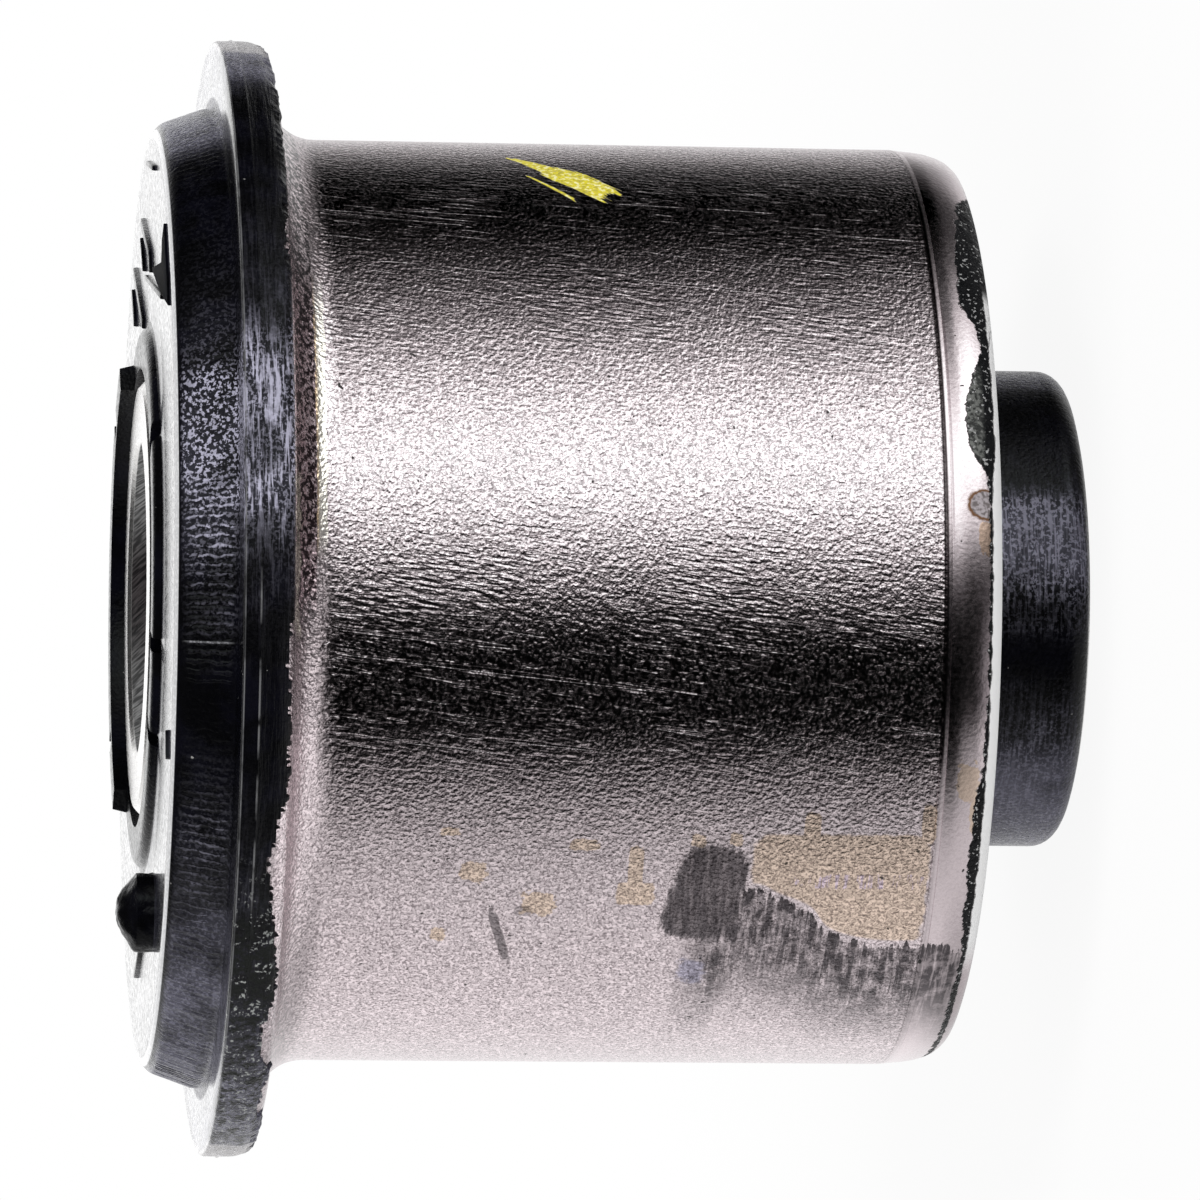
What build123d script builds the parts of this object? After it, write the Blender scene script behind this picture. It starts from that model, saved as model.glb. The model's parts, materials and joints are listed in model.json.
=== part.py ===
from build123d import *

import math
import os

# Flanged rubber metal bush for a suspension control arm.
#
# The bush stands on its nose with the flange up. Z is the common axis of both sleeves, Z = 0 is
# the clamping face of the inner sleeve at the nose, and the moulded stop lug points along +Y.
# All sizes are in millimetres.

# ---- inner sleeve: thick steel tube, clamped between its two end faces ----
bore_diameter = 16.3
sleeve_diameter = 23.5
sleeve_length = 48.5
sleeve_outer_chamfer = 0.7
sleeve_bore_chamfer = 0.15

# ---- outer sleeve: drawn steel cup with a bent flange and a swaged lead-in ----
body_diameter = 48.0
wall = 1.8
flange_diameter = 57.6
flange_front = 44.05
flange_inner_bend = 2.6
flange_back_edge = 1.2
lead_in_end = 6.4
lead_in_length = 3.0
lead_in_drop = 0.7
lead_in_edge = 0.4

# ---- rubber body: core, nose, flange facing and collar moulded in one shot ----
facing_thickness = 0.9
rim_skin = 0.25
rim_skin_wrap = 45
rim_skin_edge = 0.2
collar_height = 3.1
collar_diameter = 49.2
collar_draft = 17.5
collar_edge = 1.1
collar_root = 0.35
nose_diameter = 25.0
nose_edge = 1.3
nose_setback = 0.1
inner_film = 0.6
film_setback = 0.5
valley_depth = 3.2

# ---- face of the collar: bead round the inner sleeve, stop lug, notches and pip ----
bead_height = 0.42
bead_crest = 13.4
bead_foot = 14.3
bead_lean = 0.2
lug_height = 1.15
lug_crest = 13.2
lug_foot = 13.8
lug_start = 24
lug_arc = 124
lug_end_slope = 0.5
lug_edge = 0.2
notch_width = 0.8
notch_depth = 0.12
notch_reach = 16.0
notch_angles = (44, 127, 239, 260, 310)
pip_place = (-16.3, -10.3)
pip_diameter = 4.1
pip_base_height = 0.9
pip_cone_height = 0.95
pip_tip_diameter = 1.2
pip_tip_edge = 0.2

# ---- sizes that follow from the driving dimensions ----
sleeve_radius = sleeve_diameter / 2
body_radius = body_diameter / 2
inner_wall = body_radius - wall
flange_radius = flange_diameter / 2
flange_back = flange_front - wall
bend_centre = (body_radius + flange_inner_bend, flange_back - flange_inner_bend)
bend_outer = flange_inner_bend + wall
edge_centre = (flange_radius - flange_back_edge, flange_back + flange_back_edge)
skin_bend = flange_back_edge + rim_skin
skin_radius = flange_radius + rim_skin
lead_in_start = lead_in_end + lead_in_length
rim_radius = body_radius - lead_in_drop
facing_front = flange_front + facing_thickness
draft = math.radians(collar_draft)
collar_face = facing_front + collar_height
collar_radius = collar_diameter / 2
collar_root_radius = collar_radius + collar_height * math.tan(draft)
collar_centre = (
    collar_radius + collar_edge * (math.tan(draft) - 1 / math.cos(draft)),
    collar_face - collar_edge,
)
nose_radius = nose_diameter / 2
nose_centre = (nose_radius - nose_edge, nose_setback + nose_edge)
bead_top = collar_face + bead_height
lug_top = collar_face + lug_height
film_end = lead_in_end + film_setback
film_wall = rim_radius - wall + lead_in_drop * film_setback / lead_in_length
film_inner = film_wall - inner_film
valley_half = (film_inner - nose_radius) / 2
valley_bend = (valley_half**2 + valley_depth**2) / (2 * valley_depth)
valley_centre = (nose_radius + valley_half, film_end + valley_depth - valley_bend)
valley_start = math.degrees(math.asin((film_end - valley_centre[1]) / valley_bend))


def arc(centre, radius, start, end, flats):
    """Points on a circle from one angle to another, so that a round stretch is a few flats."""
    turns = [math.radians(start + (end - start) * i / flats) for i in range(flats + 1)]
    x, z = centre
    return [(x + radius * math.cos(turn), z + radius * math.sin(turn)) for turn in turns]


def corner(sketch, place):
    """The corner of a section that lies nearest to a place."""
    return sketch.vertices().sort_by_distance(place)[0]


# Inner sleeve: tube turned to length, every rim chamfered.
with BuildPart() as inner_sleeve:
    Cylinder(sleeve_radius, sleeve_length, align=(Align.CENTER, Align.CENTER, Align.MIN))
    Hole(bore_diameter / 2)
    rims = inner_sleeve.edges().filter_by(GeomType.CIRCLE).group_by(SortBy.RADIUS)
    chamfer(rims[-1], sleeve_outer_chamfer)
    chamfer(rims[0], sleeve_bore_chamfer)
inner_sleeve.part.label = "inner_sleeve"

# Outer sleeve: one strip section bent out to the flange and swaged in at the lead-in.
with BuildPart() as outer_sleeve:
    with BuildSketch(Plane.XZ) as strip:
        with BuildLine():
            Polyline(
                (inner_wall, lead_in_start),
                *arc(bend_centre, bend_outer, 180, 90, flats=2),
                (flange_radius, flange_front),
                *arc(edge_centre, flange_back_edge, 0, -90, flats=2),
                *arc(bend_centre, flange_inner_bend, 90, 180, flats=3),
                (body_radius, lead_in_start),
                (rim_radius, lead_in_end),
                (rim_radius - wall, lead_in_end),
                close=True,
            )
        make_face()
        chamfer(corner(strip, (rim_radius, lead_in_end)), lead_in_edge)
    revolve(axis=Axis.Z)
outer_sleeve.part.label = "outer_sleeve"

# Rubber body: bonded between the sleeves, wrapped over the flange, drawn out to the nose.
with BuildPart() as rubber_body:
    with BuildSketch(Plane.XZ) as section:
        with BuildLine():
            Polyline(
                # bonded to the inner sleeve, nose to collar
                (sleeve_radius - sleeve_outer_chamfer + nose_setback, nose_setback),
                (sleeve_radius, sleeve_outer_chamfer),
                (sleeve_radius, sleeve_length - sleeve_outer_chamfer),
                # bead, collar and facing
                (sleeve_radius + bead_lean, bead_top),
                (bead_crest, bead_top),
                (bead_foot, collar_face),
                *arc(collar_centre, collar_edge, 90, collar_draft, flats=3),
                (collar_root_radius, facing_front),
                (skin_radius, facing_front),
                # skin round the flange's edge
                *arc(edge_centre, skin_bend, 0, -rim_skin_wrap, flats=1),
                *arc(edge_centre, flange_back_edge, -rim_skin_wrap, 0, flats=1),
                # bonded to the outer sleeve, flange to lead-in
                (flange_radius, flange_front),
                *arc(bend_centre, bend_outer, 90, 180, flats=2),
                (inner_wall, lead_in_start),
                (film_wall, film_end),
                # valley between the outer film and the nose
                *arc(valley_centre, valley_bend, valley_start, 180 - valley_start, flats=5),
                *arc(nose_centre, nose_edge, 0, -90, flats=3),
                close=True,
            )
        make_face()
        chamfer(corner(section, (skin_radius, facing_front)), rim_skin_edge)
        chamfer(corner(section, (collar_root_radius, facing_front)), collar_root)
    revolve(axis=Axis.Z)
    # stop lug: a raised arc on the bead, eased at its ends
    with BuildSketch(Plane.XZ.rotated((0, 0, lug_start))):
        with BuildLine():
            Polyline(
                (sleeve_radius + bead_lean, collar_face),
                (sleeve_radius + bead_lean, lug_top),
                (lug_crest, lug_top),
                (lug_foot, collar_face),
                close=True,
            )
        make_face()
    revolve(axis=Axis.Z, revolution_arc=lug_arc)
    lug_rim = rubber_body.edges().filter_by_position(Axis.Z, lug_top, lug_top)
    chamfer(lug_rim.filter_by(GeomType.LINE), lug_end_slope)
    lug_rim = rubber_body.edges().filter_by_position(Axis.Z, lug_top, lug_top)
    chamfer(lug_rim.filter_by(GeomType.CIRCLE), lug_edge)
    # radial notches across the bead and the lug
    notch_length = notch_reach - sleeve_radius
    for angle in notch_angles:
        with Locations(Location((0, 0, collar_face - notch_depth), (0, 0, angle))):
            with Locations((sleeve_radius, 0, 0)):
                Box(
                    notch_length,
                    notch_width,
                    lug_height + 2 * notch_depth,
                    align=(Align.MIN, Align.CENTER, Align.MIN),
                    mode=Mode.SUBTRACT,
                )
    # pip: short boss with a blunt cone
    with Locations((*pip_place, collar_face)):
        Cylinder(
            pip_diameter / 2,
            pip_base_height,
            align=(Align.CENTER, Align.CENTER, Align.MIN),
        )
    with Locations((*pip_place, collar_face + pip_base_height)):
        Cone(
            pip_diameter / 2,
            pip_tip_diameter / 2,
            pip_cone_height,
            align=(Align.CENTER, Align.CENTER, Align.MIN),
        )
    chamfer(rubber_body.faces().sort_by(Axis.Z)[-1].edges(), pip_tip_edge)
rubber_body.part.label = "rubber_body"

os.makedirs("parts", exist_ok=True)
export_step(inner_sleeve.part, "parts/inner_sleeve.step")
export_step(outer_sleeve.part, "parts/outer_sleeve.step")
export_step(rubber_body.part, "parts/rubber_body.step")
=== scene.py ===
import json
import math
import random

import bmesh
import bpy
from mathutils import Matrix, Vector


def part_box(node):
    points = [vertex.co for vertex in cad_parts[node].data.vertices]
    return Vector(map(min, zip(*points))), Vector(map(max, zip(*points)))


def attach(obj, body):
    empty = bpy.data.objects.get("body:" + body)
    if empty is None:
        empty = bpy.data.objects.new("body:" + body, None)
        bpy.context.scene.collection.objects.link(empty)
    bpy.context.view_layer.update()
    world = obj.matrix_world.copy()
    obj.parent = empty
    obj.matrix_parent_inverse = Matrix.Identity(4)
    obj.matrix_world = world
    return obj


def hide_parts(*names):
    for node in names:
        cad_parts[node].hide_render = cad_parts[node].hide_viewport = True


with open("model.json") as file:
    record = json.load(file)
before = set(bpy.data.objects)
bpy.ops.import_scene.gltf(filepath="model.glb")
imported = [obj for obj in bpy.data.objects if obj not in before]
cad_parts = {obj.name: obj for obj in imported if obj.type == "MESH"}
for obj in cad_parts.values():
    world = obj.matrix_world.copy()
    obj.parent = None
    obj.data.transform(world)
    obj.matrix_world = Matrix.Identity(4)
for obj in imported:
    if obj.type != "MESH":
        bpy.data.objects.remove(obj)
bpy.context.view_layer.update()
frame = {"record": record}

# Finished look of a flanged rubber metal bush. The bush stands on its nose, Z is the common axis
# of both sleeves and -Y is the side that faces the camera. Sizes are in millimetres unless a
# property has a unit of its own, and MM turns them into metres.

bl_info = {
    "name": "Rubber Metal Bush",
    "version": (1, 0, 0),
    "blender": (4, 5, 0),
    "location": "View3D > Sidebar > Bush",
    "description": "Models and finishes a flanged rubber metal bush and the studio around it",
    "category": "Add Mesh",
}

MM = 0.001
SAME_PLACE = 1e-7  # in metres
CREASE = math.radians(38)
SIZES = {mount["name"]: mount for mount in frame["record"]["mounts"]}

# ---- outer sleeve ----
BODY_R = SIZES["press_body"]["dims"]["r_mm"]
WALL = 1.8
INNER_WALL_R = BODY_R - WALL
FLANGE_BACK = SIZES["flange_seat"]["pos_m"][2] / MM
FLANGE_FRONT = FLANGE_BACK + WALL
FLANGE_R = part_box("outer_sleeve")[1].x / MM
BACK_EDGE = 1.2
EDGE_CENTRE = (FLANGE_R - BACK_EDGE, FLANGE_BACK + BACK_EDGE)
INNER_BEND = 2.6
BEND_CENTRE = (BODY_R + INNER_BEND, FLANGE_BACK - INNER_BEND)
RIM_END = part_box("outer_sleeve")[0].z / MM
LEAD_IN_LENGTH = 3.0
LEAD_IN_TOP = RIM_END + LEAD_IN_LENGTH
LEAD_IN_DROP = 0.7
RIM_R = BODY_R - LEAD_IN_DROP

# ---- inner sleeve ----
BORE_R = SIZES["bolt_bore"]["dims"]["r_mm"]
SLEEVE_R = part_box("inner_sleeve")[1].x / MM
SLEEVE_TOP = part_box("inner_sleeve")[1].z / MM
SLEEVE_CHAMFER = 0.7
BORE_CHAMFER = 0.15

# ---- rubber body ----
SKIN_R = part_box("rubber_body")[1].y / MM
SKIN = SKIN_R - FLANGE_R
FACING_FRONT = FLANGE_FRONT + 0.9
COLLAR_FACE = FACING_FRONT + 3.1
COLLAR_R = 24.6
COLLAR_EDGE = 1.1
COLLAR_SLOPE = 17.5
COLLAR_DRAFT = math.radians(COLLAR_SLOPE)
COLLAR_ROOT_R = COLLAR_R + (COLLAR_FACE - FACING_FRONT) * math.tan(COLLAR_DRAFT)
NOSE_R = 12.5
NOSE_EDGE = 1.3
NOSE_FOOT = 0.1
FILM = 0.6
FILM_SETBACK = 0.5
FILM_END = RIM_END + FILM_SETBACK
FILM_OUTER_R = RIM_R - WALL + LEAD_IN_DROP * FILM_SETBACK / LEAD_IN_LENGTH
FILM_INNER_R = FILM_OUTER_R - FILM
VALLEY_DEPTH = 3.2
BEAD_TOP = COLLAR_FACE + 0.42
BEAD_LEAN = 0.2
BEAD_CREST_R = 13.4
BEAD_FOOT_R = 14.3
LUG_TOP = COLLAR_FACE + 1.15
LUG_CREST_R = 13.2
LUG_SPAN = (24.0, 148.0)
NOTCH_FLOOR = COLLAR_FACE - 0.12
NOTCH_START_R = 12.2
NOTCHES = ((44, 1.25), (127, 0.8), (239, 0.8), (260, 0.8), (308, 1.1))  # angle and width


# -------- drawing and shaping --------


def take(*pieces):
    """Selects pieces and nothing else, the first of them as the active one."""
    bpy.ops.object.select_all(action="DESELECT")
    for piece in reversed(pieces):
        piece.select_set(True)
        bpy.context.view_layer.objects.active = piece


def join(*pieces):
    """Joins pieces into the first of them."""
    take(*pieces)
    bpy.ops.object.join()
    return pieces[0]


def edit():
    """Opens the active piece for editing, with everything selected."""
    bpy.ops.object.mode_set(mode="EDIT")
    bpy.ops.mesh.select_mode(type="VERT")
    bpy.ops.mesh.select_all(action="SELECT")


def to_object():
    """Leaves edit mode."""
    bpy.ops.object.mode_set(mode="OBJECT")


def named(name):
    """The piece that was just added, named together with its mesh."""
    piece = bpy.context.object
    piece.name = piece.data.name = name
    return piece


def spot(centre, radius, angle):
    """The point of a circle at an angle in degrees."""
    turn = math.radians(angle)
    return centre[0] + radius * math.cos(turn), centre[1] + radius * math.sin(turn)


def arc(centre, radius, start, end, steps):
    """Points of a round stretch of a section, from one angle to another in degrees."""
    return [spot(centre, radius, start + (end - start) * step / steps)
            for step in range(steps + 1)]


def chain(name, places, closed):
    """A chain of edges through places, extruded corner by corner."""
    take()
    bpy.ops.mesh.primitive_plane_add(size=MM)
    piece = named(name)
    edit()
    bpy.ops.mesh.merge(type="CENTER")
    bpy.ops.transform.translate(value=places[0])
    for before, after in zip(places, places[1:]):
        bpy.ops.mesh.extrude_vertices_move(TRANSFORM_OT_translate={"value": after - before})
    if closed:
        ends = (places[0], places[-1])
        pick(piece, "VERT", lambda place: min((place - end).length for end in ends) < SAME_PLACE)
        bpy.ops.mesh.edge_face_add()
    return piece


def spun(name, section, columns, closed=True):
    """A section of radius and height points, spun once round the axis."""
    places = [Vector((radius * MM, 0, height * MM)) for radius, height in section]
    piece = chain(name, places, closed)
    bpy.ops.mesh.select_all(action="SELECT")
    bpy.ops.mesh.spin(steps=columns, angle=math.tau, center=(0, 0, 0), axis=(0, 0, 1))
    close_up()
    return piece


def close_up():
    """Merges doubled vertices and points all faces outwards."""
    bpy.ops.mesh.select_all(action="SELECT")
    bpy.ops.mesh.remove_doubles(threshold=SAME_PLACE)
    bpy.ops.mesh.normals_make_consistent(inside=False)


def pick(piece, kind, test, open_only=False):
    """Selects the vertices, edges or faces in edit mode whose middle passes a test."""
    bpy.ops.mesh.select_mode(type=kind)
    bpy.ops.mesh.select_all(action="DESELECT")
    mesh = bmesh.from_edit_mesh(piece.data)
    if kind == "VERT":
        for vertex in mesh.verts:
            vertex.select_set(test(vertex.co))
    elif kind == "EDGE":
        for edge in mesh.edges:
            middle = (edge.verts[0].co + edge.verts[1].co) / 2
            edge.select_set(test(middle) and (edge.is_boundary or not open_only))
    else:
        for face in mesh.faces:
            face.select_set(test(face.calc_center_median()))
    mesh.select_flush_mode()
    bmesh.update_edit_mesh(piece.data)


def polar(place):
    """Radius in mm, angle in degrees from +X towards +Y, and height in mm of a place."""
    angle = math.degrees(math.atan2(place.y, place.x)) % 360
    return math.hypot(place.x, place.y) / MM, angle, place.z / MM


def side_angle(place):
    """Angle in degrees from the camera side (-Y) towards +X, between -180 and 180."""
    return math.degrees(math.atan2(place.x, -place.y))


def near(place, radius, height, reach=0.02):
    """Whether a place lies on the ring of a radius and a height."""
    found = polar(place)
    return abs(found[0] - radius) < reach and abs(found[2] - height) < reach


def raise_picked(rise):
    """Extrudes the selected faces along the axis, by mm."""
    bpy.ops.mesh.extrude_region_move(TRANSFORM_OT_translate={"value": (0, 0, rise * MM)})


def roughen(piece, texture, size, strength, group=""):
    """Moves the surface in and out by a cloud pattern of one grain size, in mm."""
    clouds = bpy.data.textures.new(texture, "CLOUDS")
    clouds.noise_scale = size * MM
    clouds.noise_depth = 1
    bpy.ops.object.modifier_add(type="DISPLACE")
    wave = piece.modifiers[-1]
    wave.texture = clouds
    wave.texture_coords = "LOCAL"
    wave.strength = strength * MM
    wave.vertex_group = group
    bpy.ops.object.modifier_apply(modifier=wave.name)


def hand_over(piece, node, material):
    """Shades a finished piece, gives it its material and sets it in place of its CAD node."""
    to_object()
    take(piece)
    bpy.ops.object.shade_smooth_by_angle(angle=CREASE)
    piece.data.materials.clear()
    piece.data.materials.append(material)
    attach(piece, "root")
    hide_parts(node)


# -------- node helpers --------


def step_of(operation, swapped=False):
    """The method that a Wire uses for one arithmetic operator."""
    def step(self, other):
        return maths(operation, other, self) if swapped else maths(operation, self, other)
    return step


class Wire:
    """A value that a shader node puts out. Arithmetic on it adds Math nodes."""

    def __init__(self, socket):
        self.socket = socket
        self.tree = socket.id_data

    __add__ = __radd__ = step_of("ADD")
    __mul__ = __rmul__ = step_of("MULTIPLY")
    __sub__, __rsub__ = step_of("SUBTRACT"), step_of("SUBTRACT", swapped=True)
    __truediv__, __rtruediv__ = step_of("DIVIDE"), step_of("DIVIDE", swapped=True)
    __pow__ = step_of("POWER")

    def __neg__(self):
        return self * -1.0

    def __abs__(self):
        return maths("ABSOLUTE", self)


def add(kind, inputs, tree=None, **settings):
    """Adds a shader node, to the tree that its inputs are in."""
    tree = tree or next(value.tree for value in inputs.values() if isinstance(value, Wire))
    made = tree.nodes.new("ShaderNode" + kind)
    for name, value in settings.items():
        setattr(made, name, value)
    fill(made, inputs)
    return made


def fill(node, inputs):
    """Links a node's inputs to wires, and sets the others to numbers or colours."""
    for name, value in inputs.items():
        socket = node.inputs[name]
        if isinstance(value, Wire):
            value.tree.links.new(value.socket, socket)
        else:
            socket.default_value = (*value[:3], 1.0) if socket.type == "RGBA" else value


def wires(sockets):
    """The output sockets of a node as wires, by name."""
    return {socket.name: Wire(socket) for socket in sockets}


def wire(kind, inputs, out=0, **settings):
    """What one output of a new node puts out."""
    return Wire(add(kind, inputs, **settings).outputs[out])


def maths(operation, *values):
    """One step of arithmetic."""
    return wire("Math", dict(enumerate(values)), operation=operation)


def vector(operation, first, second):
    """One step of vector arithmetic."""
    return wire("VectorMath", {0: first, 1: second}, operation=operation)


def combine(x, y, z):
    """A vector from three values."""
    return wire("CombineXYZ", {0: x, 1: y, 2: z})


def split(place):
    """The three values of a vector."""
    return [Wire(socket) for socket in add("SeparateXYZ", {0: place}).outputs]


def turned(place, angle):
    """A place turned round the Z axis."""
    return wire("VectorRotate", {"Vector": place, "Axis": (0, 0, 1), "Angle": angle},
                rotation_type="AXIS_ANGLE")


def noise(place, scale, detail, roughness=0.5, distortion=0.0):
    """A cloudy value round 0.5."""
    return wire("TexNoise", {"Vector": place, "Scale": scale, "Detail": detail,
                             "Roughness": roughness, "Distortion": distortion})


def smooth(value, low, high):
    """0 below low, 1 above high and an eased step between them."""
    return wire("MapRange", {"Value": value, "From Min": low, "From Max": high},
                interpolation_type="SMOOTHSTEP")


def window(value, low, rise, fall, high):
    """0 outside low to high, 1 from rise to fall, and eased steps between."""
    return smooth(value, low, rise) * (1.0 - smooth(value, fall, high))


def band_of(value, middle, half):
    """1 close to a middle value and 0 away from it."""
    return 1.0 - smooth(abs(value - middle), half * 0.5, half)


def larger(*values):
    """The largest of several values."""
    total = values[0]
    for value in values[1:]:
        total = maths("MAXIMUM", total, value)
    return total


def grey(level):
    """A colour with the same level of red, green and blue."""
    return level, level, level


def mix(share, first, second):
    """Mixes two values by a share."""
    return wire("Mix", {0: share, 2: first, 3: second})


def blend(share, first, second, kind="MIX"):
    """Mixes two colours by a share."""
    return wire("Mix", {0: share, 6: first, 7: second}, out=2, data_type="RGBA", blend_type=kind)


def stained(colour, tint, mask, share=1.0):
    """Colour multiplied by a tint where a mask is, to a share."""
    return blend(mask * share, colour, tint, kind="MULTIPLY")


def curve_of(value, points, low, high):
    """A smooth curve through given points, of a value and in the same units as the points."""
    first, last = points[0][0], points[-1][0]
    share = wire("MapRange", {"Value": value, "From Min": first, "From Max": last})
    curve = add("FloatCurve", {"Value": share})
    line = curve.mapping.curves[0]
    knots = [((place - first) / (last - first), (level - low) / (high - low))
             for place, level in points]
    line.points[0].location = knots[0]
    line.points[1].location = knots[-1]
    for knot in knots[1:-1]:
        line.points.new(*knot)
    curve.mapping.update()
    return Wire(curve.outputs[0]) * (high - low) + low


def bumped(height):
    """The surface bumped by a height in mm."""
    return wire("Bump", {"Height": height, "Distance": MM, "Strength": 1.0})


def new_group(name, inputs, outputs=("Mask",)):
    """An empty node group: its inputs as wires, and its output node."""
    tree = bpy.data.node_groups.new(name, "ShaderNodeTree")
    for label, value in inputs.items():
        kind = "NodeSocketVector" if isinstance(value, tuple) else "NodeSocketFloat"
        tree.interface.new_socket(label, in_out="INPUT", socket_type=kind).default_value = value
    for label in outputs:
        kind = "NodeSocketVector" if label in ("Place", "Unrolled") else "NodeSocketFloat"
        tree.interface.new_socket(label, in_out="OUTPUT", socket_type=kind)
    return wires(tree.nodes.new("NodeGroupInput").outputs), tree.nodes.new("NodeGroupOutput")


def use(group, inputs, tree=None):
    """Places a node group and returns its outputs as wires."""
    return wires(add("Group", inputs, tree, node_tree=bpy.data.node_groups[group]).outputs)


def empty_tree(owner):
    """The node tree of a material or a world, cleared."""
    owner.use_nodes = True
    owner.node_tree.nodes.clear()
    return owner.node_tree


def new_material(name):
    """A material with its Principled shader, and the surface coordinates in mm."""
    material = bpy.data.materials.new(name)
    material.use_nodes = True
    tree = material.node_tree
    return material, tree.nodes["Principled BSDF"], use("bush_coordinates", {}, tree)


# -------- shared effects --------


def group_coordinates():
    """Object coordinates in mm, and the same place as arc length, height and radius."""
    _, out = new_group("bush_coordinates", {},
                       ("Place", "Unrolled", "Height", "Radius", "Angle"))
    local = wire("TexCoord", {}, out="Object", tree=out.id_data)
    place = wire("VectorMath", {0: local, "Scale": 1 / MM}, operation="SCALE")
    x, y, z = split(place)
    away = -y
    angle = maths("ARCTAN2", x, away)
    fill(out, {"Place": place, "Unrolled": combine(angle * BODY_R, z, 0.0), "Height": z,
               "Radius": maths("SQRT", x * x + away * away),
               "Angle": angle * math.degrees(1.0)})


def group_grain():
    """Fine stipple: a height in mm, a 0 to 1 mask and thin wandering lines from one noise."""
    given, out = new_group("grain", {"Place": (0, 0, 0), "Scale": 5.0, "Depth": 0.005,
                                     "Squash": 1.0, "Lean": 0.0}, ("Height", "Mask", "Lines"))
    cloud = noise(leaning(given, given["Squash"]), given["Scale"], 1.0, 0.45)
    centred = cloud - 0.5
    fill(out, {"Height": centred * (given["Depth"] * 4.0), "Mask": smooth(cloud, 0.38, 0.62),
               "Lines": 1.0 - smooth(abs(centred), 0.0, 0.05)})


def leaning(given, squash):
    """A group's place turned by its lean for each mm of height, and pressed along the axis."""
    lean = -(split(given["Place"])[2] * given["Lean"])
    return vector("MULTIPLY", turned(given["Place"], lean), combine(1.0, 1.0, squash))


def group_scratches():
    """Short scratches that run nearly along the axis, as a mask."""
    given, out = new_group("axial_scratches", {"Place": (0, 0, 0), "Lean": 0.006,
                                               "Fineness": 3.0, "Length": 14.0, "Amount": 0.5})
    cloud = noise(leaning(given, 1.0 / given["Length"]), given["Fineness"], 0.0)
    low = 0.82 - given["Amount"] * 0.2
    fill(out, {"Mask": smooth(cloud, low, low + 0.04)})


def group_patch():
    """A ragged patch at a place on the unrolled surface: half sizes, turn and raggedness."""
    given, out = new_group("ragged_patch", {
        "Unrolled": (0, 0, 0), "Centre": (0, 0, 0), "Half Size": (1, 1, 1), "Turn": 0.0,
        "Ragged": 0.3, "Grain Scale": 1.0, "Streak": 1.0, "Edge": 0.1, "Squareness": 4.0})
    place = turned(vector("SUBTRACT", given["Unrolled"], given["Centre"]), given["Turn"])
    x, y, _ = split(vector("DIVIDE", place, given["Half Size"]))
    power = given["Squareness"]
    reach = (abs(x) ** power + abs(y) ** power) ** (1.0 / power)
    streaked = vector("MULTIPLY", place, combine(1.0, given["Streak"], 1.0))
    cloud = noise(streaked, given["Grain Scale"], 4.0, 0.65)
    inside = 1.0 - (reach + (cloud - 0.5) * (given["Ragged"] * 4.0))
    fill(out, {"Mask": smooth(inside, 0.0, given["Edge"])})


def group_band():
    """A ragged band between two values, such as heights, as a mask."""
    given, out = new_group("ragged_band", {
        "Value": 0.0, "Place": (0, 0, 0), "Low": 0.0, "High": 1.0, "Ragged": 0.1,
        "Grain Scale": 1.0, "Edge": 0.05})
    cloud = noise(given["Place"], given["Grain Scale"], 4.0, 0.65)
    value = given["Value"] + (cloud - 0.5) * (given["Ragged"] * 4.0)
    low, high, edge = given["Low"], given["High"], given["Edge"]
    fill(out, {"Mask": window(value, low, low + edge, high - edge, high)})


def group_stroke():
    """A brush stroke: it starts thin at a place, widens to its full width and ends in bristles."""
    given, out = new_group("brush_stroke", {
        "Unrolled": (0, 0, 0), "Start": (0, 0, 0), "Turn": 0.0, "Length": 5.0,
        "Start Width": 0.2, "Full Width": 1.0})
    place = turned(vector("SUBTRACT", given["Unrolled"], given["Start"]), given["Turn"])
    x, y, _ = split(place)
    along = x / given["Length"]
    half = mix(smooth(along, 0.0, 0.62), given["Start Width"], given["Full Width"])
    comb = (noise(vector("MULTIPLY", place, (0.32, 3.4, 1.0)), 1.0, 3.0, 0.6) - 0.5) * 1.5
    body = smooth(0.92 + comb - abs(y) / half, 0.0, 0.12)
    tip = smooth(comb * 0.22 + along, 0.0, 0.03)
    tail = smooth(comb * 0.3 + (1.0 - along), 0.0, 0.02)
    fill(out, {"Mask": body * (tip * tail)})


def build_groups():
    """Builds every shared effect once."""
    for build in (group_coordinates, group_grain, group_scratches, group_patch, group_band,
                  group_stroke):
        build()


def stipple(here, scale, depth, squash=1.0, lean=0.0):
    """The fine grain of a surface: its height, mask and lines."""
    return use("grain", {"Place": here, "Scale": scale, "Depth": depth, "Squash": squash,
                         "Lean": lean})


def scratches(here, lean, fineness, length, amount):
    """The mask of scratches along the axis."""
    return use("axial_scratches", {"Place": here, "Lean": lean, "Fineness": fineness,
                                   "Length": length, "Amount": amount})["Mask"]


def patch(place, centre, half, turn=0.0, ragged=0.3, grain=1.0, streak=1.0, edge=0.1,
          square=4.0):
    """The mask of one ragged patch: centre and half sizes as (arc length, height) in mm."""
    return use("ragged_patch", {
        "Unrolled": place["Unrolled"], "Centre": (*centre, 0), "Half Size": (*half, 1),
        "Turn": math.radians(turn), "Ragged": ragged, "Grain Scale": grain, "Streak": streak,
        "Edge": edge, "Squareness": square})["Mask"]


def band(place, value, low, high, ragged=0.1, grain=1.0, edge=0.05):
    """The mask of one ragged band."""
    return use("ragged_band", {
        "Value": value, "Place": place["Place"], "Low": low, "High": high, "Ragged": ragged,
        "Grain Scale": grain, "Edge": edge})["Mask"]


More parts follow.
